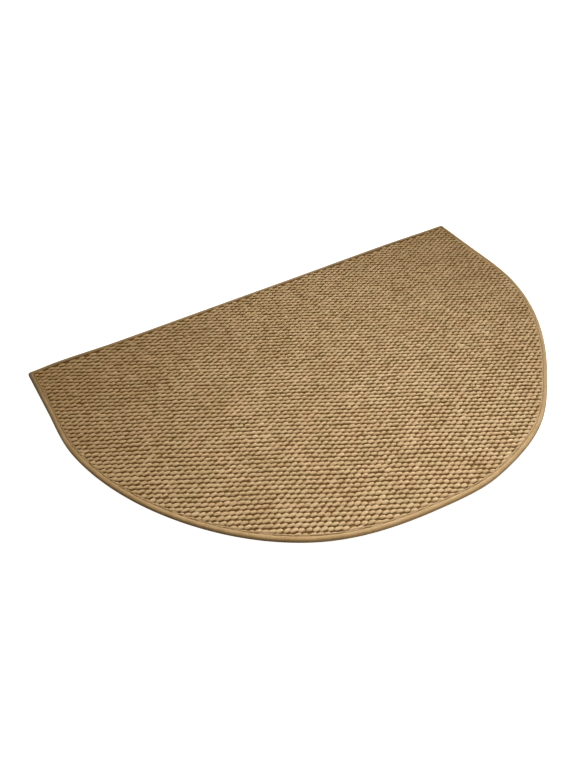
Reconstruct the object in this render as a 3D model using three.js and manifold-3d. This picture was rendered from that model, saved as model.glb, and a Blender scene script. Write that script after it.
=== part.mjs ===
// A half-round doormat: a thick looped weave cut to a D, with its edge overcast in yarn.
// Millimetres, +Z up. It lies flat on the floor. The straight edge is at the back, at +Y, and runs
// along X, and the round front points to -Y. The origin is on the floor, at the middle of the
// bounding box.
import * as THREE from "three";
import { mergeVertices } from "three/addons/utils/BufferGeometryUtils.js";
import Module from "manifold-3d";

const wasm = await Module();
wasm.setup();

// The D, as cut
const WIDTH = 800;
const SIDE_LENGTH = 100; // the short straight sides, before the round front begins
const FRONT_RADIUS = WIDTH / 2;
const CORNER_RADIUS = 4; // of the two corners at the ends of the straight edge

// Thicknesses
const WEAVE_THICKNESS = 6.5;
const SHOULDER_DROP = 1.6; // how far the weave is pressed down beside the binding
const SHOULDER_WIDTH = 3.5;
const BINDING_WIDTH = 6; // seen from above
const BINDING_THICKNESS = 6;
const BINDING_ROUND_HEIGHT = 2.8; // the outer side of the binding is a half round roll
const BINDING_ROUND_WIDTH = 3.2;
const YARN = 1.4; // the binding's yarn, over, under and outside the weave's edge
const GAP = 0.3; // between the weave and the binding

// How the real edge leaves the plain D, in millimetres outwards. The front's places are degrees
// round the arc, from its left end at -X to its right end at +X.
const FRONT_UNEVEN = [
  { at: 0, out: -2 },
  { at: 12, out: 1.5 },
  { at: 36, out: 0 },
  { at: 60, out: 2 },
  { at: 84, out: -4.5 },
  { at: 100, out: 1 },
  { at: 115, out: 3.5 },
  { at: 133, out: -4 },
  { at: 164, out: 3 },
  { at: 180, out: -2 },
];
// The straight edge's places are millimetres along X.
const BACK_UNEVEN = [
  { at: -400, out: -0.5 },
  { at: -355, out: 1.5 },
  { at: -260, out: -1 },
  { at: 0, out: 0 },
  { at: 250, out: 1.5 },
  { at: 400, out: -1 },
];
const SIDE_OUT_AT_CORNER = 0.5;

// Steps along the edge
const FRONT_STEP_DEGREES = 3;
const SIDE_STEPS = 5;
const BACK_STEPS = 24;
const CORNER_STEPS = 3;
const BEVEL_STEPS = 4;

const WEAVE_COLOUR = 0xa88b65;
const BINDING_COLOUR = 0xb0905a;

// The value of a table at a place, in soft waves from row to row.
function outwardAt(table, place) {
  const last = table.length - 1;
  if (place <= table[0].at) return table[0].out;
  if (place >= table[last].at) return table[last].out;
  const i = table.findIndex((row) => row.at > place);
  const [from, to] = [table[i - 1], table[i]];
  const share = (place - from.at) / (to.at - from.at);
  return THREE.MathUtils.lerp(from.out, to.out, (1 - Math.cos(Math.PI * share)) / 2);
}

// A quarter circle between two straight stretches, about a centre, anticlockwise from an angle.
// Without a radius it is one sharp point.
function cornerPoints(centre, radius, fromDegrees) {
  if (radius === 0) return [centre];
  const points = [];
  for (let i = 0; i <= CORNER_STEPS; i++) {
    const angle = THREE.MathUtils.degToRad(fromDegrees + (90 * i) / CORNER_STEPS);
    points.push(new THREE.Vector2(radius * Math.cos(angle), radius * Math.sin(angle)).add(centre));
  }
  return points;
}

// The D's outline, moved in by an inset, anticlockwise from the front's left end. Its frame has the
// centre of the front's arc at 0, 0.
function outline(inset) {
  const points = [];
  for (let degrees = 0; degrees <= 180; degrees += FRONT_STEP_DEGREES) {
    const radius = FRONT_RADIUS - inset + outwardAt(FRONT_UNEVEN, degrees);
    const angle = Math.PI + THREE.MathUtils.degToRad(degrees);
    points.push(new THREE.Vector2(radius * Math.cos(angle), radius * Math.sin(angle)));
  }
  const round = Math.max(CORNER_RADIUS - inset, 0);
  const cornerX = FRONT_RADIUS - inset + SIDE_OUT_AT_CORNER;
  const sideX = (frontEnd, share) => THREE.MathUtils.lerp(frontEnd, cornerX, share);
  const backY = (x) => SIDE_LENGTH - inset + outwardAt(BACK_UNEVEN, x);
  const rightEnd = points[points.length - 1].x;
  const leftEnd = -points[0].x;
  const topRight = backY(WIDTH / 2) - round;
  const topLeft = backY(-WIDTH / 2) - round;
  for (let i = 1; i < SIDE_STEPS; i++) {
    const share = i / SIDE_STEPS;
    points.push(new THREE.Vector2(sideX(rightEnd, share), topRight * share));
  }
  points.push(...cornerPoints(new THREE.Vector2(cornerX - round, topRight), round, 0));
  for (let i = 1; i < BACK_STEPS; i++) {
    const x = THREE.MathUtils.lerp(cornerX - round, round - cornerX, i / BACK_STEPS);
    points.push(new THREE.Vector2(x, backY(x)));
  }
  points.push(...cornerPoints(new THREE.Vector2(round - cornerX, topLeft), round, 90));
  for (let i = 1; i < SIDE_STEPS; i++) {
    const share = 1 - i / SIDE_STEPS;
    points.push(new THREE.Vector2(-sideX(leftEnd, share), topLeft * share));
  }
  return points;
}

// A D-shaped slab from one height to another. Rounding takes its rims in by a width over a height.
function slab(inset, low, high, rounding = null) {
  const height = rounding ? rounding.height : 0;
  const geometry = new THREE.ExtrudeGeometry(new THREE.Shape(outline(inset)), {
    depth: high - low - 2 * height,
    bevelEnabled: rounding !== null,
    bevelThickness: height,
    bevelSize: rounding ? rounding.width : 0,
    bevelOffset: rounding ? -rounding.width : 0,
    bevelSegments: BEVEL_STEPS,
  });
  return solid(geometry.translate(0, 0, low + height));
}

function solid(geometry) {
  geometry.deleteAttribute("normal");
  geometry.deleteAttribute("uv");
  const merged = mergeVertices(geometry, 1e-4);
  const vertProperties = merged.getAttribute("position").array;
  const triVerts = new Uint32Array(merged.index.array);
  return new wasm.Manifold(new wasm.Mesh({ numProp: 3, vertProperties, triVerts }));
}

function geometryOf(manifold) {
  const { vertProperties, triVerts } = manifold.getMesh();
  const geometry = new THREE.BufferGeometry();
  geometry.setAttribute("position", new THREE.BufferAttribute(vertProperties, 3));
  geometry.setIndex(new THREE.BufferAttribute(triVerts, 1));
  geometry.computeVertexNormals();
  return geometry;
}

function clothMaterial(color) {
  return new THREE.MeshStandardMaterial({ color, roughness: 0.9, metalness: 0 });
}

// The edge of the weave that the binding wraps: a thinner tongue half way up.
const TONGUE_LOW = YARN + GAP;
const TONGUE_HIGH = BINDING_THICKNESS - YARN - GAP;
const TONGUE_INSET = YARN + GAP;
const WEAVE_INSET = BINDING_WIDTH + GAP;

// The weave in one piece: a flat underside, a top that is pressed down at its rim, and the tongue.
// The crown's lower rim is rounded as well, and lies inside the core.
function weaveGeometry() {
  const rimTop = WEAVE_THICKNESS - SHOULDER_DROP;
  const core = slab(WEAVE_INSET, 0, rimTop);
  const crown = slab(WEAVE_INSET, rimTop - 2 * SHOULDER_DROP, WEAVE_THICKNESS, {
    height: SHOULDER_DROP,
    width: SHOULDER_WIDTH,
  });
  const tongue = slab(TONGUE_INSET, TONGUE_LOW, TONGUE_HIGH);
  return geometryOf(core.add(crown).add(tongue));
}

// The binding: one ring that goes over, round and under the weave's edge, with mitred corners.
function bindingGeometry() {
  const outside = slab(0, 0, BINDING_THICKNESS, {
    height: BINDING_ROUND_HEIGHT,
    width: BINDING_ROUND_WIDTH,
  });
  const middle = slab(BINDING_WIDTH, -1, BINDING_THICKNESS + 1);
  const slot = slab(TONGUE_INSET - GAP, TONGUE_LOW - GAP, TONGUE_HIGH + GAP);
  return geometryOf(outside.subtract(middle).subtract(slot));
}

const mat = new THREE.Group();

const weave = new THREE.Mesh(weaveGeometry(), clothMaterial(WEAVE_COLOUR));
weave.name = "woven_mat";
mat.add(weave);

const binding = new THREE.Mesh(bindingGeometry(), clothMaterial(BINDING_COLOUR));
binding.name = "edge_binding";
mat.add(binding);

// The uneven D is centred by its own bounding box.
const extent = new THREE.Box2().setFromPoints(outline(0));
const centre = extent.getCenter(new THREE.Vector2());
mat.position.set(-centre.x, -centre.y, 0);

export default mat;
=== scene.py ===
# A half-round doormat of thick looped yarn on a base cloth, its edge overcast in golden yarn.
# Everything is in metres, +Z up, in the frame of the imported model: the straight edge is at +Y and
# the round front points to -Y. Small sizes are given in millimetres, times MM.

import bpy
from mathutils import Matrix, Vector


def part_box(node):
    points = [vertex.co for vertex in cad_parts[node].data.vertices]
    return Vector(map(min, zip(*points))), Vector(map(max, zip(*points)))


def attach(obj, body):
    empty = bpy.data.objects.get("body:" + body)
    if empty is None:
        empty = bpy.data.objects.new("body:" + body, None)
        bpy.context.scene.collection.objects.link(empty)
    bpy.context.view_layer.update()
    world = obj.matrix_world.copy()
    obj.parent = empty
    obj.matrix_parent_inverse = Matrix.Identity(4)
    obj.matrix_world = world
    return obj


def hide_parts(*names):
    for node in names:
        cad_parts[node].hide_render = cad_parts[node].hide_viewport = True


bl_info = {
    "name": "Half-Round Doormat",
    "version": (1, 0, 0),
    "blender": (4, 5, 0),
    "location": "3D View > Sidebar > Doormat",
    "description": "Makes a half-round doormat of looped yarn with an overcast edge",
    "category": "Object",
}

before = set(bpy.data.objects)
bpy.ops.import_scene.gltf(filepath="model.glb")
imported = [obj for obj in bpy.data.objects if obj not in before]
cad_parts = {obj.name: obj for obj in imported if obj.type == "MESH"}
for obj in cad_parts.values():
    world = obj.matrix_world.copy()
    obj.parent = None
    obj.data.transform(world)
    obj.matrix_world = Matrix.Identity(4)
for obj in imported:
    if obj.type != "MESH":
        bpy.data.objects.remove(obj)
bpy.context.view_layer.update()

import math

import bmesh
import bpy
import numpy as np
from bpy.props import FloatProperty, FloatVectorProperty, IntProperty, PointerProperty
from mathutils import Matrix, Vector

MM = 0.001

# The D, as cut
SIDE_LENGTH = 100 * MM
FRONT_RADIUS = 400 * MM
CORNER_RADIUS = 4 * MM
SHARPEST_CORNER = 0.3 * MM
SIDE_OUT_AT_CORNER = 0.5 * MM

# How the real edge leaves the plain D, in millimetres outwards. The front's places are degrees
# round the arc, from its left end at -X to its right end at +X.
FRONT_UNEVEN = [
    {"at": 0, "out": -2},
    {"at": 12, "out": 1.5},
    {"at": 36, "out": 0},
    {"at": 60, "out": 2},
    {"at": 84, "out": -4.5},
    {"at": 100, "out": 1},
    {"at": 115, "out": 3.5},
    {"at": 133, "out": -4},
    {"at": 164, "out": 3},
    {"at": 180, "out": -2},
]
# The straight edge's places are millimetres along X.
BACK_UNEVEN = [
    {"at": -400, "out": -0.5},
    {"at": -355, "out": 1.5},
    {"at": -260, "out": -1},
    {"at": 0, "out": 0},
    {"at": 250, "out": 1.5},
    {"at": 400, "out": -1},
]

# Points along each stretch of the outline. The pieces' own stations lie between them.
FRONT_POINTS = 1440
SIDE_POINTS = 80
CORNER_POINTS = 12
BACK_POINTS = 640

# The base cloth, from below, in millimetres inwards from the edge and up: its edge is a thinner
# tongue inside the binding, and beside the binding it swells to a low cord.
BASE_SECTION = [
    {"inset": 6.4, "height": 0.0},
    {"inset": 6.4, "height": 1.7},
    {"inset": 1.9, "height": 1.7},
    {"inset": 1.9, "height": 3.0},
    {"inset": 6.3, "height": 3.0},
    {"inset": 6.75, "height": 4.2},
    {"inset": 6.95, "height": 5.05},
    {"inset": 8.0, "height": 5.4},
    {"inset": 9.3, "height": 4.1},
]
BASE_TOP = BASE_SECTION[-1]["height"] * MM
BASE_STATIONS = 420
UNDERSIDE_BELOW = 0.1 * MM
# Nearer than this to the straight edge, the base cloth has no cord.
STRAIGHT_EDGE_WIDTH = 12 * MM

# Half a loop, along its yarn. Along is a share of half its length, and the rest is in millimetres.
HALF_LOOP = [
    {"along": 0.0, "middle": 5.1, "half_width": 2.8, "half_height": 1.5},
    {"along": 0.45, "middle": 5.0, "half_width": 2.7, "half_height": 1.4},
    {"along": 0.8, "middle": 4.6, "half_width": 2.2, "half_height": 1.1},
    {"along": 1.0, "middle": 3.9, "half_width": 1.3, "half_height": 0.7},
]
LOOP_RINGS = [{**ring, "along": -ring["along"]} for ring in HALF_LOOP[:0:-1]] + HALF_LOOP
LOOP_FOOT = LOOP_RINGS[0]["middle"] * MM
LOOP_SIDES = 8
LOOP_SHAPES = 8
LOOP_BANDS = 6

# How much the shapes of a loop differ, as standard deviations of shares
CROWN_SPREAD = 0.08
LUMP_SPREAD = 0.035
# How much each loop differs from the rest, as standard deviations. Long, wide and high are shares
# of its size, tilt is its rise for each metre along it, and tone runs from 0 to 1. High is drawn
# round a mean and kept in a range, so most loops are lower than the rings say.
LOOP_SPREAD = {
    "x": 0.38 * MM,
    "y": 0.22 * MM,
    "long": 0.085,
    "wide": 0.085,
    "high": 0.075,
    "turn": math.radians(5),
    "tilt": 0.03,
    "tone": 0.22,
}
HEIGHT_MEAN = -0.06
HEIGHT_RANGE = (-0.3, 0.06)
# The weave's slow sideways drift, as waves that are this long and go this far, in millimetres
DRIFT_WAVES = [
    {"length": 310, "most": 0.5},
    {"length": 170, "most": 0.35},
    {"length": 90, "most": 0.25},
]
LATTICE_REACH = FRONT_RADIUS * 1.2

# The loops end beside the binding, where they are pressed sideways and down. One whose middle
# would lie nearer to the edge than the nearest loop may is left out.
LOOPS_END = 6.7 * MM
NEAREST_LOOP = LOOPS_END - 1.8 * MM
NEAREST_TO_STRAIGHT_EDGE = LOOPS_END + 1.6 * MM
SIDEWAYS_REACH = 2.5 * MM
PRESSED_REACH = 4 * MM
PRESSED_SHARE = 0.15

# A loop's map of its own yarn, in millimetres: half its length, its radius, and how long the yarn
# is that the loops are cut from
YARN_HALF_LENGTH = 5.2
YARN_RADIUS = 2.6
YARN_PLACES = 500
# Where a loop's faces lie in its cell of the bake's map, as shares of the cell: its sides fill the
# middle, and its two ends are narrow strips beside them.
CELL_MARGIN = 0.04
SIDES_HALF_LENGTH = 0.45
SIDES_MARGIN = 0.1
END_MIDDLE = 0.02
END_HALF_WIDTH = 0.01
END_HALF_HEIGHT = 0.4

# The binding's section, from its inner edge on top, over the outside, to its inner edge below, and
# back through the slot that holds the tongue. In millimetres, inwards from the edge and up.
BINDING_OUTSIDE = [
    {"inset": 6.7, "height": 4.6},
    {"inset": 6.45, "height": 5.2},
    {"inset": 5.8, "height": 5.6},
    {"inset": 4.9, "height": 5.9},
    {"inset": 3.9, "height": 6.05},
    {"inset": 2.8, "height": 5.95},
    {"inset": 1.8, "height": 5.6},
    {"inset": 0.95, "height": 4.95},
    {"inset": 0.35, "height": 4.0},
    {"inset": 0.05, "height": 2.9},
    {"inset": 0.0, "height": 1.8},
    {"inset": 0.2, "height": 0.8},
    {"inset": 0.8, "height": 0.2},
    {"inset": 2.0, "height": 0.0},
    {"inset": 6.0, "height": 0.0},
]
BINDING_SLOT = [
    {"inset": 6.0, "height": 1.4},
    {"inset": 1.7, "height": 1.4},
    {"inset": 1.7, "height": 3.3},
    {"inset": 6.0, "height": 3.3},
]
SLOT_MIDDLE = 2.4 * MM
# Across one turn of the binding's yarn: how far down its groove the surface lies, as a share
TURN_STEPS = [{"at": 0.0, "sunk": 1.0}, {"at": 0.5, "sunk": 0.0}]
TURN_TONE_SPREAD = 0.24
# The binding is cut into this many strips on the bake's map, with margins as shares of a strip.
BINDING_STRIPS = 8
STRIP_END_MARGIN = 0.005
STRIP_SIDE_MARGIN = 0.03
# In the slot, which isn't seen, the yarn's map goes on by a step for each row so far, and then by
# a last one.
SLOT_STEP = 1 * MM
CLOSING_STEP = 5 * MM

BAKE_MAP = "OFBake"
PER_MM = (1 / MM, 1 / MM, 1 / MM)

# Fibres: how many noise cells a millimetre of yarn has, along and across it
LONG_FIBRES = (0.16, 2.1, 1)
SHORT_FIBRES = (0.7, 4.5, 1)
LONG_SHARE = 0.62
NOISE_RANGE = (0.3, 0.7)
STRAND_ROUNDNESS = 3.0
HUE_OFFSET = (3.1, 5.7, 1.3)
HUE_FINENESS = 2.3

# Tints that colours are multiplied by, as the dye's hue and shade go from 0 to 1
HUE_TINTS = (0.975, 1.0, 0.965), (1.02, 0.99, 0.985)
SHADE_TINTS = (0.965, 0.955, 0.935), (1.035, 1.045, 1.06)
CLOTH_SPECULAR = 0.18
ROUGHNESS = (0.95, 0.78)

# Where the loops darken towards the pits, and by how much: painted shade, with some dirt, low down
PIT_HEIGHTS = (6.5 * MM, 3.9 * MM)
PIT_SHARE = 0.7
DEEPEST_PIT = 0.55
CORD_RISE = 1.2 * MM
WEFT_ROUNDNESS = 2.5
# The underside: how light its darkest fibres and every other square of it are, and how much of
# its relief is fibres
DARKEST_FIBRES = 0.55
DARKER_SQUARES = 0.75
FIBRE_RELIEF = 0.3

# Where the binding's colour changes: painted shade inwards from the left side, greyer inwards from
# the straight edge, painted shade down its outer side towards the floor, and along X and Y at the
# middle of the front, which has less of that painted shade. Its grooves get painted shade too.
GROOVE_SHARE = 0.7
SHADE_AT_LEFT = (5.5 * MM, 2.8 * MM)
LEFT_SHADE_SHARE = 0.85
GREYED_AT_BACK = (8.0 * MM, 4.0 * MM)
BACK_GREY_SHARE = 0.55
SHADE_NEAR_FLOOR_HEIGHTS = (5.9 * MM, 1.6 * MM)
SHADE_NEAR_FLOOR_SHARE = 0.85
LESS_SHADE_BY = 0.5
LESS_SHADE_FROM_LEFT = (-230 * MM, -130 * MM)
LESS_SHADE_FROM_RIGHT = (130 * MM, 30 * MM)
LESS_SHADE_IN_FRONT = (-80 * MM, -140 * MM)

# The stage: a wide floor, soft light that is brightest on the right, a large light beyond the
# straight edge, and the camera at the photograph's place
FLOOR_RADIUS = 9.0
FLOOR_SIDES = 96
FLOOR_BELOW = 0.1 * MM
FLOOR_ROUGHNESS = 0.9
WHITE = (1, 1, 1)
SKY_BRIGHTEST = (0.92, -0.39, 0.0)
KEY_PLACE = (0.85, 0.65, 1.5)
KEY_TARGET = (-0.04, -0.28, 0)
KEY_SIZE = 0.8
KEY_SPREAD = math.radians(29)
KEY_COLOUR = (0.94, 1.0, 1.06)
CAMERA_PLACE = (-0.4351, -0.5187, 0.6695)
CAMERA_TARGET = (-0.0807, 0.0357, 0.0)
CAMERA_ROLL = math.radians(1.25)
SENSOR_WIDTH = 36.0
CLIP = (0.01, 50.0)


def table(rows, *columns):
    """The named columns of a table, as arrays."""
    return [np.array([row[column] for row in rows], float) for column in columns]


def outward_at(rows, places):
    """The value of an unevenness table at each place, in soft waves from row to row, in metres."""
    at, out = table(rows, "at", "out")
    upper = np.clip(np.searchsorted(at, places, side="right"), 1, len(at) - 1)
    share = np.clip((places - at[upper - 1]) / (at[upper] - at[upper - 1]), 0, 1)
    wave = (1 - np.cos(np.pi * share)) / 2
    return (out[upper - 1] + (out[upper] - out[upper - 1]) * wave) * MM


def outward_at_ends(rows):
    """The first and the last value of an unevenness table, in metres."""
    return np.array([rows[0]["out"], rows[-1]["out"]]) * MM


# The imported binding's box shows where the centre of the front's arc lies.
FURTHEST_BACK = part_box("edge_binding")[1].y
ARC_CENTRE_Y = FURTHEST_BACK - SIDE_LENGTH - max(row["out"] for row in BACK_UNEVEN) * MM
STRAIGHT_EDGE = ARC_CENTRE_Y + SIDE_LENGTH
LEFT_SIDE = -FRONT_RADIUS


def outline(inset):
    """The D's outline moved in by an inset, anticlockwise from the front's left end, as an array of
    x and y. Outlines at any inset have as many points, and a point of one lies beside the same
    point of another."""
    degrees = np.linspace(0, 180, FRONT_POINTS, endpoint=False)
    radius = FRONT_RADIUS - inset + outward_at(FRONT_UNEVEN, degrees)
    angle = np.pi + np.radians(degrees)
    front = np.column_stack([radius * np.cos(angle), radius * np.sin(angle)])

    front_x = FRONT_RADIUS - inset + outward_at_ends(FRONT_UNEVEN)
    back_y = SIDE_LENGTH - inset + outward_at_ends(BACK_UNEVEN)
    corner_x = FRONT_RADIUS - inset + SIDE_OUT_AT_CORNER
    turn = max(CORNER_RADIUS - inset, SHARPEST_CORNER)
    share = np.linspace(0, 1, SIDE_POINTS, endpoint=False)[:, None]
    side_ends = np.array([[corner_x, back_y[1] - turn], [-corner_x, back_y[0] - turn]])
    right = np.array([[front_x[1], 0]]) * (1 - share) + side_ends[:1] * share
    left = np.array([[-front_x[0], 0]]) * share + side_ends[1:] * (1 - share)

    quarter = np.linspace(0, np.pi / 2, CORNER_POINTS, endpoint=False)
    arc = turn * np.column_stack([np.cos(quarter), np.sin(quarter)])
    corner_right = arc + (corner_x - turn, back_y[1] - turn)
    corner_left = np.column_stack([-arc[:, 1], arc[:, 0]]) + (turn - corner_x, back_y[0] - turn)
    x = np.linspace(corner_x - turn, turn - corner_x, BACK_POINTS, endpoint=False)
    back = np.column_stack([x, SIDE_LENGTH - inset + outward_at(BACK_UNEVEN, x / MM)])
    points = np.vstack([front, right, corner_right, back, corner_left, left])
    return points + (0, ARC_CENTRE_Y)


def lengths_along(points):
    """How far along a closed line each of its points lies, with the whole length last."""
    steps = np.diff(np.vstack([points, points[:1]]), axis=0)
    return np.concatenate([[0], np.cumsum(np.hypot(*steps.T))])


EDGE_LENGTHS = lengths_along(outline(0))
EDGE_LENGTH = EDGE_LENGTHS[-1]


def beside_edge(inset, stations):
    """Points at an inset, beside places on the edge that are given as metres along it."""
    points = outline(inset)
    closed = np.vstack([points, points[:1]])
    places = np.mod(stations, EDGE_LENGTH)
    return np.column_stack([np.interp(places, EDGE_LENGTHS, closed[:, axis]) for axis in (0, 1)])


def depth_inside(x, y):
    """How far inside the edge points lie, in metres."""
    y = y - ARC_CENTRE_Y
    degrees = np.degrees(np.arctan2(-y, -x))
    from_front = FRONT_RADIUS + outward_at(FRONT_UNEVEN, degrees) - np.hypot(x, y)
    end = FRONT_RADIUS + outward_at_ends(FRONT_UNEVEN)[0]
    corner = FRONT_RADIUS + SIDE_OUT_AT_CORNER
    from_side = end + (corner - end) * np.clip(y / SIDE_LENGTH, 0, 1) - np.abs(x)
    from_back = SIDE_LENGTH + outward_at(BACK_UNEVEN, x / MM) - y
    return np.minimum(np.where(y < 0, from_front, from_side), from_back)


def way_inwards(x, y):
    """The direction in which the depth inside the edge grows, as an array of unit vectors."""
    step = 0.5 * MM
    across = depth_inside(x + step, y) - depth_inside(x - step, y)
    along = depth_inside(x, y + step) - depth_inside(x, y - step)
    length = np.maximum(np.hypot(across, along), 1e-9)
    return np.column_stack([across / length, along / length])


# Meshes


def ring_surface(rows, closed):
    """A bmesh of the surface through rows of points that each run once round the edge. With closed,
    the last row joins the first."""
    turns, stations = len(rows), len(rows[0])
    steps = turns if closed else turns - 1
    bm = bmesh.new()
    bm.loops.layers.uv.new("grid")
    bmesh.ops.create_grid(bm, x_segments=stations, y_segments=steps, size=1, calc_uvs=True)
    for vert in bm.verts:
        column = round((vert.co.x + 1) / 2 * stations) % stations
        row = round((vert.co.y + 1) / 2 * steps) % turns
        vert.co = rows[row][column]
    bmesh.ops.remove_doubles(bm, verts=bm.verts[:], dist=1e-6)
    return bm


def finished_piece(bm, name, materials):
    """The object of a bmesh, at the origin, smooth, with its faces pointing out."""
    bmesh.ops.recalc_face_normals(bm, faces=bm.faces[:])
    mesh = bpy.data.meshes.new(name)
    bm.to_mesh(mesh)
    bm.free()
    return placed(mesh, name, materials)


def linked(name, data):
    """A new object of a mesh, a light or a camera."""
    thing = bpy.data.objects.new(name, data)
    bpy.context.scene.collection.objects.link(thing)
    return thing


def placed(mesh, name, materials):
    """An object of a mesh that rides on the mat's one body."""
    mesh.polygons.foreach_set("use_smooth", [True] * len(mesh.polygons))
    for material in materials:
        mesh.materials.append(material)
    piece = linked(name, mesh)
    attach(piece, "root")
    return piece


def remove_piece(name):
    """Deletes a piece made by an earlier run of its operator."""
    old = bpy.data.objects.get(name)
    if old is not None:
        bpy.data.meshes.remove(old.data)


# Nodes


def feed(tree, socket, value):
    """Links an input to another node's socket, or sets it."""
    if isinstance(value, bpy.types.NodeSocket):
        tree.links.new(value, socket)
    else:
        socket.default_value = value


def wire(tree, kind, inputs=None, **settings):
    """Adds a node with its settings and inputs."""
    node = tree.nodes.new(kind)
    for name, value in settings.items():
        setattr(node, name, value)
    for name, value in (inputs or {}).items():
        feed(tree, node.inputs[name], value)
    return node


def sums(tree, operation, *values):
    """The result of a Math node."""
    return wire(tree, "ShaderNodeMath", dict(enumerate(values)), operation=operation).outputs[0]


def ramp(tree, value, low, high, to_low=0.0, to_high=1.0):
    """A value taken smoothly from one range to another."""
    names = ("Value", "From Min", "From Max", "To Min", "To Max")
    inputs = dict(zip(names, (value, low, high, to_low, to_high)))
    node = wire(tree, "ShaderNodeMapRange", inputs, interpolation_type="SMOOTHSTEP")
    return node.outputs["Result"]


def vectors(tree, operation, *values):
    """The result of a Vector Math node."""
    node = wire(tree, "ShaderNodeVectorMath", dict(enumerate(values)), operation=operation)
    return node.outputs["Value" if operation == "DOT_PRODUCT" else "Vector"]


def parts(tree, vector):
    """The X, Y and Z of a vector."""
    return wire(tree, "ShaderNodeSeparateXYZ", {0: vector}).outputs


def noise(tree, place, scale, detail, roughness, dimensions="3D"):
    """A noise from 0 to 1."""
    inputs = {"Vector": place, "Scale": scale, "Detail": detail, "Roughness": roughness}
    return wire(tree, "ShaderNodeTexNoise", inputs, noise_dimensions=dimensions).outputs[0]


def blend(tree, share, first, second, way="MIX"):
    """One colour mixed into another."""
    node = wire(tree, "ShaderNodeMix", data_type="RGBA", blend_type=way)
    sockets = {socket.identifier: socket for socket in (*node.inputs, *node.outputs)}
    feed(tree, sockets["Factor_Float"], share)
    for name, value in (("A_Color", first), ("B_Color", second)):
        is_socket = isinstance(value, bpy.types.NodeSocket)
        feed(tree, sockets[name], value if is_socket else (*value, 1))
    return sockets["Result_Color"]


def object_place(tree):
    """A point's place on its piece, in metres."""
    return wire(tree, "ShaderNodeTexCoord").outputs["Object"]


def yarn_place(tree):
    """A point's place on its own yarn, in millimetres along and round it."""
    return wire(tree, "ShaderNodeUVMap", uv_map="yarn").outputs[0]


def number(tree, name):
    """A number that the mesh has for each point."""
    return wire(tree, "ShaderNodeAttribute", attribute_name=name).outputs["Fac"]


def along_weave(tree, place, settings, scale):
    """A place turned to the columns and rows of the weave, and scaled."""
    inputs = {"Vector": place, "Rotation": (0, 0, -settings.turn), "Scale": scale}
    return wire(tree, "ShaderNodeMapping", inputs).outputs[0]


# Effects, which the materials share


def effect(name, inputs, outputs):
    """A new shader node group with a place and numbers as its inputs and numbers as its outputs, as
    (group, its inputs, its outputs)."""
    group = bpy.data.node_groups.new(name, "ShaderNodeTree")
    new_socket = group.interface.new_socket
    new_socket(name="Place", in_out="INPUT", socket_type="NodeSocketVector")
    for label, default in inputs.items():
        socket = new_socket(name=label, in_out="INPUT", socket_type="NodeSocketFloat")
        socket.default_value = default
    for label in outputs:
        new_socket(name=label, in_out="OUTPUT", socket_type="NodeSocketFloat")
    given = group.nodes.new("NodeGroupInput").outputs
    made = group.nodes.new("NodeGroupOutput").inputs
    return group, given, made


def yarn_effect():
    """Twisted, hairy yarn. Place is millimetres along and round the yarn. It puts out how light the
    fibres are and how high they stand, both from 0 to 1."""
    name = "Twisted Yarn"
    if name in bpy.data.node_groups:
        return bpy.data.node_groups[name]
    inputs = {"Twist": 0.45, "Strand Width": 1.6}
    group, given, made = effect(name, inputs, ["Light", "Height"])
    turn = {"Vector": given["Place"], "Angle": given["Twist"]}
    turned = wire(group, "ShaderNodeVectorRotate", turn, rotation_type="Z_AXIS").outputs[0]
    long = vectors(group, "MULTIPLY", turned, LONG_FIBRES)
    short = vectors(group, "MULTIPLY", turned, SHORT_FIBRES)
    fibres = noise(group, long, 1.0, 3.0, 0.6, "2D")
    hairs = noise(group, short, 1.0, 2.0, 0.5, "2D")
    across = parts(group, turned)["Y"]
    strand = sums(group, "FRACT", sums(group, "DIVIDE", across, given["Strand Width"]))
    hollow = sums(group, "ABSOLUTE", sums(group, "MULTIPLY_ADD", strand, 2.0, -1.0))
    round_top = sums(group, "SUBTRACT", 1.0, sums(group, "POWER", hollow, STRAND_ROUNDNESS))
    from_hairs = sums(group, "MULTIPLY", hairs, 1 - LONG_SHARE)
    light = sums(group, "MULTIPLY_ADD", fibres, LONG_SHARE, from_hairs)
    height = sums(group, "MULTIPLY_ADD", round_top, 0.5, sums(group, "MULTIPLY", light, 0.5))
    group.links.new(ramp(group, light, *NOISE_RANGE), made["Light"])
    group.links.new(height, made["Height"])
    return group


def dye_effect():
    """Uneven dye, in patches. Place is in metres. It puts out a shade and a hue, from 0 to 1."""
    name = "Uneven Dye"
    if name in bpy.data.node_groups:
        return bpy.data.node_groups[name]
    group, given, made = effect(name, {"Patches per Metre": 14.0}, ["Shade", "Hue"])
    patches = given["Patches per Metre"]
    shade = noise(group, given["Place"], patches, 3.0, 0.6)
    moved = vectors(group, "ADD", given["Place"], HUE_OFFSET)
    hue = noise(group, moved, sums(group, "MULTIPLY", patches, HUE_FINENESS), 1.0, 0.5)
    group.links.new(ramp(group, shade, *NOISE_RANGE), made["Shade"])
    group.links.new(ramp(group, hue, *NOISE_RANGE), made["Hue"])
    return group


def use_effect(tree, group, inputs):
    """Places a node group in a material and returns its outputs."""
    return wire(tree, "ShaderNodeGroup", inputs, node_tree=group).outputs


# Materials


def new_material(name):
    """An empty material with a cloth-like Principled shader, as (material, tree, shader)."""
    material = bpy.data.materials.get(name) or bpy.data.materials.new(name)
    material.use_nodes = True
    tree = material.node_tree
    tree.nodes.clear()
    shader = tree.nodes.new("ShaderNodeBsdfPrincipled")
    shader.inputs["Specular IOR Level"].default_value = CLOTH_SPECULAR
    output = tree.nodes.new("ShaderNodeOutputMaterial")
    tree.links.new(shader.outputs[0], output.inputs["Surface"])
    return material, tree, shader


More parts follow.
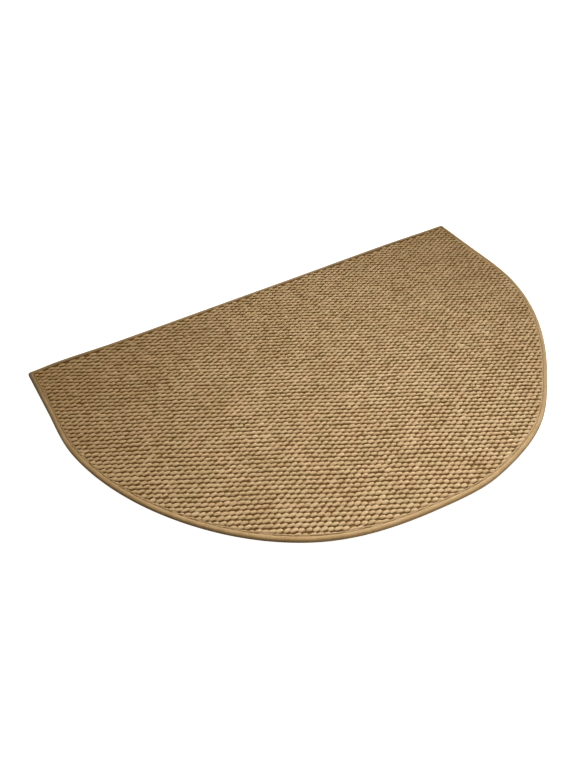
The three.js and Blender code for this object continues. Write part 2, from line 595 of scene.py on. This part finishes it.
def lightness(tree, yarn, dye, fibres, tone, shade):
    """How light the yarn is, from shares of its fibres, its own tone and the dye's shade."""
    from_tone = sums(tree, "MULTIPLY", number(tree, "tone"), tone)
    from_yarn = sums(tree, "MULTIPLY_ADD", yarn["Light"], fibres, from_tone)
    return sums(tree, "MULTIPLY_ADD", dye["Shade"], shade, from_yarn)


def tinted(tree, colour, dye):
    """A colour unevenly dyed: it grows lighter and paler with the shade, and leans from olive to
    orange with the hue."""
    for share, tints in ((dye["Hue"], HUE_TINTS), (dye["Shade"], SHADE_TINTS)):
        colour = blend(tree, 1.0, colour, blend(tree, share, *tints), "MULTIPLY")
    return colour


def roughen(tree, shader, height, light, distance):
    """Bump and an uneven roughness from the fibres."""
    bump = wire(tree, "ShaderNodeBump", {"Height": height, "Strength": 1.0, "Distance": distance})
    tree.links.new(bump.outputs[0], shader.inputs["Normal"])
    tree.links.new(ramp(tree, light, 0.0, 1.0, *ROUGHNESS), shader.inputs["Roughness"])


def loop_material(settings):
    """The yarn of the loops, which darkens towards the pits: painted shade, with some dirt."""
    material, tree, shader = new_material("looped_yarn")
    place = object_place(tree)
    twisted = {"Place": yarn_place(tree), "Twist": 0.42, "Strand Width": 2.6}
    yarn = use_effect(tree, yarn_effect(), twisted)
    dye = use_effect(tree, dye_effect(), {"Place": place})
    light = lightness(tree, yarn, dye, fibres=0.5, tone=0.4, shade=0.1)
    colour = tinted(tree, blend(tree, light, settings.yarn_dark, settings.yarn_light), dye)
    # Painted shade, with some dirt: lower down, the loops blend towards the pit colour.
    pit_shade_and_dirt = ramp(tree, parts(tree, place)["Z"], *PIT_HEIGHTS)
    colour = blend(tree, sums(tree, "MULTIPLY", pit_shade_and_dirt, PIT_SHARE), colour, settings.pit)
    tree.links.new(colour, shader.inputs["Base Color"])
    roughen(tree, shader, yarn["Height"], yarn["Light"], distance=0.45 * MM)
    return material


def base_material(settings):
    """The top of the base cloth: dark warp cords in the pits, and loop yarn on the low cord beside
    the binding."""
    material, tree, shader = new_material("base_cloth_top")
    place = object_place(tree)
    turned = along_weave(tree, place, settings, PER_MM)
    yarn = use_effect(tree, yarn_effect(), {"Place": turned, "Twist": 1.2, "Strand Width": 2.0})
    deepest = [part * DEEPEST_PIT for part in settings.pit]
    warp = blend(tree, yarn["Light"], deepest, settings.pit)
    cord = blend(tree, yarn["Light"], settings.yarn_dark, settings.yarn_light)
    on_cord = ramp(tree, parts(tree, place)["Z"], BASE_TOP, BASE_TOP + CORD_RISE)
    tree.links.new(blend(tree, on_cord, warp, cord), shader.inputs["Base Color"])
    roughen(tree, shader, yarn["Height"], yarn["Light"], distance=0.6 * MM)
    return material


def backing_material(settings):
    """The underside: plain, flat yarn, over one and under one, with painted shade between the
    yarns.
    """
    material, tree, shader = new_material("base_cloth_underside")
    place = object_place(tree)
    cell = (1 / settings.column_pitch, 1 / settings.row_pitch, 1)
    turned = along_weave(tree, place, settings, cell)
    checks = wire(tree, "ShaderNodeTexChecker", {"Vector": turned, "Scale": 1.0}).outputs["Fac"]
    in_cell = vectors(tree, "FRACTION", turned)
    hills = []
    for part in parts(tree, in_cell)[:2]:
        edge = sums(tree, "ABSOLUTE", sums(tree, "MULTIPLY_ADD", part, 2.0, -1.0))
        hills.append(sums(tree, "SUBTRACT", 1.0, sums(tree, "POWER", edge, WEFT_ROUNDNESS)))
    over = sums(tree, "MULTIPLY", *hills)
    in_mm = vectors(tree, "MULTIPLY", place, PER_MM)
    yarn = use_effect(tree, yarn_effect(), {"Place": in_mm, "Twist": 0.2, "Strand Width": 1.9})
    dye = use_effect(tree, dye_effect(), {"Place": place})
    fibres = ramp(tree, yarn["Light"], 0.0, 1.0, DARKEST_FIBRES, 1.0)
    squares = sums(tree, "MULTIPLY_ADD", checks, 1 - DARKER_SQUARES, DARKER_SQUARES)
    # Darker towards the edges of each crossing of the yarns: painted shade between them.
    light = sums(tree, "MULTIPLY", sums(tree, "MULTIPLY", over, fibres), squares)
    colour = tinted(tree, blend(tree, light, settings.pit, settings.yarn_dark), dye)
    tree.links.new(colour, shader.inputs["Base Color"])
    fine = sums(tree, "MULTIPLY", yarn["Height"], FIBRE_RELIEF)
    height = sums(tree, "MULTIPLY_ADD", over, 1 - FIBRE_RELIEF, fine)
    roughen(tree, shader, height, yarn["Light"], distance=0.9 * MM)
    return material


def binding_material(settings):
    """The overcast yarn, with painted shade in its grooves and outside on the left, greyer along
    the straight edge, and painted shade near the floor, less of it at the middle of the front."""
    material, tree, shader = new_material("overcast_yarn")
    place = object_place(tree)
    twisted = {"Place": yarn_place(tree), "Twist": 1.15, "Strand Width": 0.9}
    yarn = use_effect(tree, yarn_effect(), twisted)
    dye = use_effect(tree, dye_effect(), {"Place": place, "Patches per Metre": 45.0})
    light = lightness(tree, yarn, dye, fibres=0.45, tone=0.3, shade=0.25)
    colour = tinted(tree, blend(tree, light, settings.yarn_dark, settings.yarn_light), dye)
    # Painted shade in the grooves between the turns of the yarn.
    groove_shade = sums(tree, "MULTIPLY", number(tree, "groove"), GROOVE_SHARE)
    colour = blend(tree, groove_shade, colour, settings.groove)

    across, along, height = parts(tree, place)
    # Painted shade on the outer half of the left side; along the straight edge the yarn is only
    # greyer.
    from_left = [LEFT_SIDE + inwards for inwards in SHADE_AT_LEFT]
    from_back = [STRAIGHT_EDGE - inwards for inwards in GREYED_AT_BACK]
    left_shade = ramp(tree, across, *from_left, 0.0, LEFT_SHADE_SHARE)
    at_back = ramp(tree, along, *from_back, 0.0, BACK_GREY_SHARE)
    colour = blend(tree, sums(tree, "MAXIMUM", left_shade, at_back), colour, settings.greyed_and_shaded)

    # Painted shade low on the binding towards the floor, with less of it at the middle of the
    # front.
    left, right = ramp(tree, across, *LESS_SHADE_FROM_LEFT), ramp(tree, across, *LESS_SHADE_FROM_RIGHT)
    in_front = ramp(tree, along, *LESS_SHADE_IN_FRONT)
    less_floor_shade = sums(tree, "MULTIPLY", sums(tree, "MULTIPLY", left, right), in_front)
    share = sums(tree, "MULTIPLY_ADD", less_floor_shade, -LESS_SHADE_BY, SHADE_NEAR_FLOOR_SHARE)
    shade_near_floor = sums(tree, "MULTIPLY", ramp(tree, height, *SHADE_NEAR_FLOOR_HEIGHTS), share)
    colour = blend(tree, shade_near_floor, colour, settings.shade_near_floor)
    tree.links.new(colour, shader.inputs["Base Color"])
    roughen(tree, shader, yarn["Height"], yarn["Light"], distance=0.25 * MM)
    return material


# Settings


def number_property(name, description, default, **limits):
    """A number that a user may change."""
    return FloatProperty(name=name, description=description, default=default, **limits)


def length_property(name, description, default, least):
    """A size in metres that a user may change."""
    return number_property(name, description, default, min=least, unit="LENGTH", precision=5)


def colour_property(name, description, default):
    """A colour that a user may change."""
    limits = {"subtype": "COLOR", "size": 3, "min": 0.0, "max": 1.0}
    return FloatVectorProperty(name=name, description=description, default=default, **limits)


class DOORMAT_PG_weave(bpy.types.PropertyGroup):
    """The looped weave."""

    column_pitch: length_property(
        "Column Pitch", "Distance between columns of loops, across the mat", 7.88 * MM, 3 * MM
    )
    row_pitch: length_property(
        "Row Pitch",
        "Distance between rows of loops. Every other row is moved by one column",
        3.85 * MM,
        1.5 * MM,
    )
    turn: number_property(
        "Off Grain",
        "How far the weave is turned against the straight edge",
        math.radians(-2.45),
        unit="ROTATION",
    )
    slant: number_property(
        "Loop Slant",
        "How far each loop is turned against its row",
        math.radians(-2.5),
        unit="ROTATION",
    )
    loop_length: length_property(
        "Loop Length", "Length of one loop along its yarn", 11.1 * MM, 2 * MM
    )
    unevenness: number_property(
        "Unevenness",
        "How much the loops differ in place, size, height and tone",
        1.0,
        min=0.0,
        max=2.0,
        subtype="FACTOR",
    )
    seed: IntProperty(name="Seed", description="Another number gives other loops", default=7)
    yarn_light: colour_property("Light Yarn", "Colour of the lightest fibres", (0.62, 0.455, 0.28))
    yarn_dark: colour_property("Dark Yarn", "Colour of the darkest fibres", (0.40, 0.265, 0.135))
    # The loops' painted shade in the pits blends towards this colour.
    pit: colour_property(
        "Pits", "Colour at the bottom of the pits between the loops", (0.235, 0.125, 0.036)
    )


class DOORMAT_PG_binding(bpy.types.PropertyGroup):
    """The overcast edge."""

    turn_pitch: length_property(
        "Turn Pitch", "Distance between turns of the yarn along the edge", 1.5 * MM, 0.8 * MM
    )
    groove_depth: length_property(
        "Groove Depth", "Depth of the grooves between the turns", 0.16 * MM, 0.0
    )
    slant: length_property(
        "Slant",
        "How far a turn moves along the edge from the inner edge on top to the one below",
        2.4 * MM,
        0.0,
    )
    seed: IntProperty(name="Seed", description="Another number gives other tones", default=11)
    yarn_light: colour_property("Light Yarn", "Colour of the lightest fibres", (0.68, 0.475, 0.262))
    yarn_dark: colour_property("Dark Yarn", "Colour of the darkest fibres", (0.44, 0.29, 0.14))
    # The grooves' colour is painted shade between the turns.
    groove: colour_property("Grooves", "Colour between the turns of the yarn", (0.15, 0.08, 0.03))
    # Greyer along the straight edge; outside on the left this is painted shade.
    greyed_and_shaded: colour_property(
        "Greyed and Shaded Yarn",
        "Greyed colour along the straight edge and outside on the left",
        (0.25, 0.2, 0.15),
    )
    # Painted shade on the outer side near the floor.
    shade_near_floor: colour_property(
        "Shade Near the Floor", "Colour of the outer side near the floor", (0.05, 0.038, 0.027)
    )


class DOORMAT_PG_stage(bpy.types.PropertyGroup):
    """The floor, the lights and the camera."""

    floor_colour: colour_property("Floor", "Colour of the plain floor", (0.6, 0.6, 0.6))
    floor_glow: number_property(
        "Floor Glow",
        "How much the floor shines for the camera alone, which keeps it white",
        0.9,
        min=0.0,
    )
    sky_colour: colour_property(
        "Soft Light Colour", "Colour of the soft light from all round", (1.0, 0.86, 0.58)
    )
    sky: number_property("Soft Light", "Strength of the soft light from all round", 0.5, min=0.0)
    sky_lean: number_property(
        "Soft Light Lean",
        "How much more of the soft light comes from the right than from the left",
        0.85,
        min=0.0,
        max=1.0,
    )
    key: number_property(
        "Key Light",
        "Power of the large light beyond the straight edge, on the right",
        3.0,
        min=0.0,
        unit="POWER",
    )
    lens: number_property("Lens", "Focal length of the camera", 29.944, min=1.0, unit="CAMERA")


# Pieces


class DOORMAT_OT_base_cloth(bpy.types.Operator):
    """Make the base cloth that carries the loops"""

    bl_idname = "doormat.base_cloth"
    bl_label = "Base Cloth"

    def execute(self, context):
        settings = context.scene.doormat_weave
        remove_piece("base_cloth")
        stations = np.linspace(0, EDGE_LENGTH, BASE_STATIONS, endpoint=False)
        rows = []
        for part in BASE_SECTION:
            points = beside_edge(part["inset"] * MM, stations)
            at_back = points[:, 1] > STRAIGHT_EDGE - STRAIGHT_EDGE_WIDTH
            height = part["height"] * MM
            heights = np.where(at_back, min(height, BASE_TOP), height)
            rows.append(np.column_stack([points, heights]))
        bm = ring_surface(rows, closed=False)
        bmesh.ops.holes_fill(bm, edges=[e for e in bm.edges if e.is_boundary], sides=0)
        for face in bm.faces:
            is_underside = face.calc_center_median().z < UNDERSIDE_BELOW
            face.material_index = 1 if is_underside else 0
        materials = [base_material(settings), backing_material(settings)]
        piece = finished_piece(bm, "base_cloth", materials)
        piece.data.polygons.foreach_set("use_smooth", [False] * len(piece.data.polygons))
        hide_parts("woven_mat")
        return {"FINISHED"}


def loop_maps(bm, angle):
    """The faces of a loop's bmesh, with the maps of its own yarn and of its cell in the bake's map
    for each corner of a face. Angle is how far round the yarn each point lies."""
    faces, yarn, cell = [], [], []
    for face in bm.faces:
        corners = [vert.index for vert in face.verts]
        faces.append(corners)
        turns = angle[corners]
        if np.ptp(turns) > math.pi:
            turns = np.where(turns < 0, turns + 2 * math.pi, turns)
        if turns.mean() > math.pi:
            turns = turns - 2 * math.pi
        places = [vert.co for vert in face.verts]
        is_end = np.ptp([place.x for place in places]) < 1e-6
        for (end, across, up), turn in zip(places, turns, strict=True):
            yarn.append((end * YARN_HALF_LENGTH, turn * YARN_RADIUS))
            if is_end:
                middle = END_MIDDLE if end < 0 else 1 - END_MIDDLE
                cell.append((middle + across * END_HALF_WIDTH, 0.5 + up * END_HALF_HEIGHT))
            else:
                round_it = turn / (2 * math.pi) + 0.5
                height = SIDES_MARGIN + (1 - 2 * SIDES_MARGIN) * round_it
                cell.append((0.5 + end * SIDES_HALF_LENGTH, height))
    return faces, np.array(yarn), np.array(cell)


def loop_template(rng, unevenness):
    """One loop at the origin, along X, as (points, faces, map of its own yarn in millimetres, map
    of its place in a cell of the bake's map). Rng draws the small ways in which it is uneven."""
    bm = bmesh.new()
    bmesh.ops.create_cone(
        bm,
        cap_ends=True,
        cap_tris=False,
        segments=LOOP_SIDES,
        radius1=1,
        radius2=1,
        depth=2,
        matrix=Matrix.Rotation(math.pi / 2, 4, "Y"),
    )
    along, middle, half_width, half_height = table(
        LOOP_RINGS, "along", "middle", "half_width", "half_height"
    )
    for place in along[1:-1]:
        bmesh.ops.bisect_plane(
            bm,
            geom=bm.verts[:] + bm.edges[:] + bm.faces[:],
            dist=1e-5,
            plane_co=(place, 0, 0),
            plane_no=(1, 0, 0),
        )
    bm.verts.index_update()
    start = np.array([vert.co for vert in bm.verts], float)
    angle = np.arctan2(start[:, 2], start[:, 1])
    faces, yarn, cell = loop_maps(bm, angle)
    bm.free()

    # The crown of each shape lies a little to one side and its yarn is a little uneven.
    lean = rng.normal(0, CROWN_SPREAD) * unevenness
    at = np.clip(start[:, 0] + lean * (1 - start[:, 0] ** 2), -1, 1)
    lumps = 1 + rng.normal(0, LUMP_SPREAD, len(start)) * unevenness
    across = np.cos(angle) * np.interp(at, along, half_width) * MM
    up = np.sin(angle) * np.interp(at, along, half_height) * MM
    points = np.column_stack([start[:, 0], across * lumps, np.interp(at, along, middle) * MM + up])
    return points, faces, yarn, cell


def loop_places(settings):
    """Where the loops stand: every other point of the lattice, as (x, y, row)."""
    columns, rows = (
        np.arange(-int(LATTICE_REACH / pitch), int(LATTICE_REACH / pitch) + 1)
        for pitch in (settings.column_pitch, settings.row_pitch)
    )
    column, row = np.meshgrid(columns, rows)
    taken = (column + row) % 2 == 0
    along, across = column[taken] * settings.column_pitch, row[taken] * settings.row_pitch
    cos, sin = math.cos(settings.turn), math.sin(settings.turn)
    return along * cos - across * sin, along * sin + across * cos, row[taken]


def slow_waves(x, y, rng):
    """A gentle sideways drift of the weave, in metres, as a sum of a few long waves."""
    drift = np.zeros(len(x))
    for wave in DRIFT_WAVES:
        way, phase = rng.uniform(0, 2 * math.pi, 2)
        along = x * math.cos(way) + y * math.sin(way)
        turns = 2 * math.pi * along / (wave["length"] * MM)
        drift += wave["most"] * MM * np.sin(turns + phase)
    return drift


def pressed_at_edge(points):
    """Moves points that lie at or under the binding to its inner side, and presses them down."""
    x, y = points[:, 0], points[:, 1]
    depth = depth_inside(x, y)
    beyond = np.minimum((depth - LOOPS_END - SIDEWAYS_REACH) / SIDEWAYS_REACH, 0)
    in_front = LOOPS_END + SIDEWAYS_REACH * np.exp(beyond)
    wanted = np.where(depth < LOOPS_END + SIDEWAYS_REACH, in_front, depth)
    points[:, :2] += way_inwards(x, y) * (wanted - depth)[:, None]
    near = np.clip(1 - (wanted - LOOPS_END) / PRESSED_REACH, 0, 1)
    near = near * near * (3 - 2 * near)
    above = np.maximum(points[:, 2] - BASE_TOP, 0)
    points[:, 2] -= above * near * PRESSED_SHARE
    return points


class DOORMAT_OT_loops(bpy.types.Operator):
    """Make the loops of yarn, in bands from the front to the straight edge"""

    bl_idname = "doormat.loops"
    bl_label = "Loops"

    def execute(self, context):
        settings = context.scene.doormat_weave
        rng = np.random.default_rng(settings.seed)
        uneven = settings.unevenness
        templates = [loop_template(rng, uneven) for _ in range(LOOP_SHAPES)]
        x, y, row = loop_places(settings)
        x = x + slow_waves(x, y, rng)
        y = y + slow_waves(x, y, rng)
        inside = depth_inside(x, y) > NEAREST_LOOP
        inside &= STRAIGHT_EDGE - y > NEAREST_TO_STRAIGHT_EDGE
        x, y, row = x[inside], y[inside], row[inside]
        count = len(x)

        def spread(name, mean=0.0):
            return rng.normal(mean, LOOP_SPREAD[name], count)

        # The order of these draws decides every loop.
        draw = {
            "x": spread("x") * uneven,
            "y": spread("y") * uneven,
            "long": 1 + spread("long") * uneven,
            "wide": 1 + spread("wide") * uneven,
            "high": 1 + np.clip(spread("high", HEIGHT_MEAN), *HEIGHT_RANGE) * uneven,
            "turn": spread("turn") * uneven,
            "tilt": spread("tilt") * uneven,
            "tone": np.clip(0.5 + spread("tone") * uneven, 0, 1),
            "shape": rng.integers(0, LOOP_SHAPES, count),
            "flip": rng.integers(0, 2, count),
            "yarn": rng.uniform(0, YARN_PLACES, (count, 2)),
        }
        material = loop_material(settings)
        order = np.lexsort((x, row))
        for band, members in enumerate(np.array_split(order, LOOP_BANDS), start=1):
            name = f"loops_band_{band}"
            remove_piece(name)
            piece = self.band(name, members, x, y, draw, templates, settings, material)
            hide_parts("woven_mat")
        return {"FINISHED"}

    def band(self, name, members, x, y, draw, templates, settings, material):
        """One piece, of the loops that are members."""
        columns = math.ceil(math.sqrt(len(members)))
        cell = 1 / columns
        points, faces, yarn, bake, tone, count = [], [], [], [], [], 0
        for place, i in enumerate(members):
            shape, polygons, own, local = templates[draw["shape"][i]]
            moved = shape.copy()
            moved[:, 0] *= settings.loop_length / 2 * draw["long"][i]
            moved[:, 1] *= draw["wide"][i]
            above_foot = (moved[:, 2] - LOOP_FOOT) * draw["high"][i]
            moved[:, 2] = LOOP_FOOT + above_foot + moved[:, 0] * draw["tilt"][i]
            turn = settings.turn + settings.slant + draw["turn"][i] + math.pi * draw["flip"][i]
            cos, sin = math.cos(turn), math.sin(turn)
            flat = moved[:, :2] @ np.array([[cos, sin], [-sin, cos]])
            moved[:, 0] = flat[:, 0] + x[i] + draw["x"][i]
            moved[:, 1] = flat[:, 1] + y[i] + draw["y"][i]
            points.append(moved)
            faces.extend([[corner + count for corner in polygon] for polygon in polygons])
            count += len(moved)
            yarn.append(own + draw["yarn"][i])
            corner = np.array([place % columns, place // columns]) * cell
            bake.append(corner + (CELL_MARGIN + (1 - 2 * CELL_MARGIN) * local) * cell)
            tone.append(np.full(len(moved), draw["tone"][i]))
        points = pressed_at_edge(np.vstack(points))
        mesh = bpy.data.meshes.new(name)
        mesh.from_pydata(points.tolist(), [], faces)
        for label, values in (("yarn", yarn), (BAKE_MAP, bake)):
            layer = mesh.uv_layers.new(name=label)
            layer.uv.foreach_set("vector", np.vstack(values).astype(np.float32).ravel())
        mesh.uv_layers.active = mesh.uv_layers["yarn"]
        tones = mesh.attributes.new("tone", "FLOAT", "POINT")
        tones.data.foreach_set("value", np.concatenate(tone).astype(np.float32))
        return placed(mesh, name, [material])


class DOORMAT_OT_binding(bpy.types.Operator):
    """Make the overcast edge, turn by turn of its yarn"""

    bl_idname = "doormat.binding"
    bl_label = "Binding"

    def execute(self, context):
        settings = context.scene.doormat_binding
        remove_piece("binding")
        rng = np.random.default_rng(settings.seed)
        turns = round(EDGE_LENGTH / settings.turn_pitch)
        at, sunk = table(TURN_STEPS, "at", "sunk")
        along = ((np.arange(turns)[:, None] + at) / turns).ravel() * EDGE_LENGTH
        groove = np.tile(sunk, turns)
        depth = groove * settings.groove_depth
        tone = np.repeat(np.clip(rng.normal(0.5, TURN_TONE_SPREAD, turns), 0, 1), len(at))

        section = np.column_stack(table(BINDING_OUTSIDE, "inset", "height")) * MM
        ways = np.gradient(section, axis=0)
        ways /= np.hypot(*ways.T)[:, None]
        below = np.column_stack([-ways[:, 1], ways[:, 0]])
        around = np.concatenate([[0], np.cumsum(np.hypot(*np.diff(section, axis=0).T))])
        rows, round_it, grooves = [], [], []
        for (near, up), (way_in, way_up), gone in zip(section, below, around, strict=True):
            places = along + settings.slant * (gone / around[-1] - 0.5)
            here = beside_edge(near, places)
            a_little_in = beside_edge(near + MM, places) - here
            flat = here + a_little_in * (depth * way_in / MM)[:, None]
            rows.append(np.column_stack([flat, up + depth * way_up]))
            round_it.append(gone)
            grooves.append(groove)
        for row in BINDING_SLOT:
            share = 0.5 if row["height"] * MM < SLOT_MIDDLE else -0.5
            flat = beside_edge(row["inset"] * MM, along + settings.slant * share)
            rows.append(np.column_stack([flat, np.full(len(flat), row["height"] * MM)]))
            round_it.append(around[-1] + len(rows) * SLOT_STEP)
            grooves.append(np.ones(len(along)))
        round_it.append(round_it[-1] + CLOSING_STEP)
        bm = ring_surface(rows, closed=True)
        self.lay_maps(bm, len(along), round_it, tone, grooves)
        piece = finished_piece(bm, "binding", [binding_material(settings)])
        piece.data.uv_layers.active = piece.data.uv_layers["yarn"]
        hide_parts("edge_binding")
        return {"FINISHED"}

    def lay_maps(self, bm, stations, round_it, tone, grooves):
        """The yarn's map in millimetres, the bake's map in strips, and the numbers for the
        material."""
        grid = bm.loops.layers.uv["grid"]
        yarn = bm.loops.layers.uv.new("yarn")
        bake = bm.loops.layers.uv.new(BAKE_MAP)
        tones = bm.verts.layers.float.new("tone")
        groove = bm.verts.layers.float.new("groove")
        rows = len(grooves)
        strip = math.ceil(stations / BINDING_STRIPS)
        strip_length, strip_width = 1 - 2 * STRIP_END_MARGIN, 1 - 2 * STRIP_SIDE_MARGIN
        for face in bm.faces:
            columns = [round(loop[grid].uv.x * stations) for loop in face.loops]
            level = min(columns) // strip
            for loop, column in zip(face.loops, columns, strict=True):
                row = round(loop[grid].uv.y * rows)
                loop[yarn].uv = (column / stations * EDGE_LENGTH / MM, round_it[row] / MM)
                share = (column - level * strip) / strip
                up = level + STRIP_SIDE_MARGIN + strip_width * row / rows
                loop[bake].uv = (STRIP_END_MARGIN + strip_length * share, up / BINDING_STRIPS)
                loop.vert[tones] = tone[column % stations]
                loop.vert[groove] = grooves[row % rows][column % stations]
        bm.loops.layers.uv.remove(grid)


class DOORMAT_OT_declare(bpy.types.Operator):
    """Does nothing; the pieces stay as they are"""

    bl_idname = "doormat.declare"
    bl_label = "Declare Cloth"

    def execute(self, context):
        return {"FINISHED"}


# Stage


def aimed(thing, place, target, roll=0.0):
    """Puts a light or the camera at a place, looking at a target."""
    way = Vector(target) - Vector(place)
    thing.rotation_mode = "QUATERNION"
    turn = way.to_track_quat("-Z", "Y").to_matrix() @ Matrix.Rotation(roll, 3, "Z")
    thing.rotation_quaternion = turn.to_quaternion()
    thing.location = place


class DOORMAT_OT_stage(bpy.types.Operator):
    """Make the plain floor, the soft lights and the camera"""

    bl_idname = "doormat.stage"
    bl_label = "Stage"

    def execute(self, context):
        settings = context.scene.doormat_stage
        self.floor(settings)
        context.scene.world = self.world(settings)
        self.key_light(settings)
        context.scene.camera = self.camera(settings)
        context.scene.view_settings.view_transform = "Standard"
        return {"FINISHED"}

    def floor(self, settings):
        """A wide disc, which also shines a little where the camera sees it."""
        bm = bmesh.new()
        lowered = Matrix.Translation((0, 0, -FLOOR_BELOW))
        bmesh.ops.create_circle(
            bm, cap_ends=True, segments=FLOOR_SIDES, radius=FLOOR_RADIUS, matrix=lowered
        )
        mesh = bpy.data.meshes.new("floor")
        bm.to_mesh(mesh)
        bm.free()
        material, tree, shader = new_material("pale_floor")
        shader.inputs["Base Color"].default_value = (*settings.floor_colour, 1)
        shader.inputs["Roughness"].default_value = FLOOR_ROUGHNESS
        shader.inputs["Emission Color"].default_value = (*WHITE, 1)
        seen = wire(tree, "ShaderNodeLightPath").outputs["Is Camera Ray"]
        glow = sums(tree, "MULTIPLY", seen, settings.floor_glow)
        tree.links.new(glow, shader.inputs["Emission Strength"])
        mesh.materials.append(material)
        floor = linked("floor", mesh)

    def world(self, settings):
        """Soft light from all round, more of it from the right, and plain white for the camera."""
        world = bpy.data.worlds.new("studio")
        world.use_nodes = True
        sky = world.node_tree
        background = sky.nodes["Background"]
        seen = wire(sky, "ShaderNodeLightPath").outputs["Is Camera Ray"]
        colour = blend(sky, seen, settings.sky_colour, WHITE)
        way = wire(sky, "ShaderNodeTexCoord").outputs["Generated"]
        lean = vectors(sky, "DOT_PRODUCT", way, SKY_BRIGHTEST)
        most = settings.sky * settings.sky_lean
        strength = sums(sky, "MULTIPLY_ADD", lean, most, settings.sky)
        sky.links.new(colour, background.inputs["Color"])
        sky.links.new(sums(sky, "ADD", strength, seen), background.inputs["Strength"])
        return world

    def key_light(self, settings):
        """A large square light."""
        data = bpy.data.lights.new("key", "AREA")
        data.shape = "SQUARE"
        data.size = KEY_SIZE
        data.spread = KEY_SPREAD
        data.energy = settings.key
        data.color = KEY_COLOUR
        aimed(linked("key", data), KEY_PLACE, KEY_TARGET)

    def camera(self, settings):
        """The camera at the photograph's place."""
        data = bpy.data.cameras.new("camera")
        data.sensor_width, data.lens = SENSOR_WIDTH, settings.lens
        data.clip_start, data.clip_end = CLIP
        camera = linked("camera", data)
        aimed(camera, CAMERA_PLACE, CAMERA_TARGET, CAMERA_ROLL)
        return camera


class DOORMAT_PT_panel(bpy.types.Panel):
    """Lists the doormat's pieces and its sizes"""

    bl_idname = "DOORMAT_PT_panel"
    bl_label = "Doormat"
    bl_space_type = "VIEW_3D"
    bl_region_type = "UI"
    bl_category = "Doormat"

    def draw(self, context):
        layout = self.layout
        for label, pointer, operators in (
            ("Weave", "doormat_weave", (DOORMAT_OT_base_cloth, DOORMAT_OT_loops)),
            ("Binding", "doormat_binding", (DOORMAT_OT_binding, DOORMAT_OT_declare)),
            ("Stage", "doormat_stage", (DOORMAT_OT_stage,)),
        ):
            box = layout.box()
            box.label(text=label)
            group = getattr(context.scene, pointer)
            for name in group.__annotations__:
                box.prop(group, name)
            for operator in operators:
                box.operator(operator.bl_idname)


GROUPS = {
    "doormat_weave": DOORMAT_PG_weave,
    "doormat_binding": DOORMAT_PG_binding,
    "doormat_stage": DOORMAT_PG_stage,
}
CLASSES = (
    *GROUPS.values(),
    DOORMAT_OT_base_cloth,
    DOORMAT_OT_loops,
    DOORMAT_OT_binding,
    DOORMAT_OT_declare,
    DOORMAT_OT_stage,
    DOORMAT_PT_panel,
)


def register():
    for cls in CLASSES:
        bpy.utils.register_class(cls)
    for name, group in GROUPS.items():
        setattr(bpy.types.Scene, name, PointerProperty(type=group))


def unregister():
    for name in GROUPS:
        delattr(bpy.types.Scene, name)
    for cls in reversed(CLASSES):
        bpy.utils.unregister_class(cls)


def main():
    register()
    bpy.ops.doormat.base_cloth()
    bpy.ops.doormat.loops()
    bpy.ops.doormat.binding()
    bpy.ops.doormat.declare()
    bpy.ops.doormat.stage()


if __name__ == "__main__":
    main()
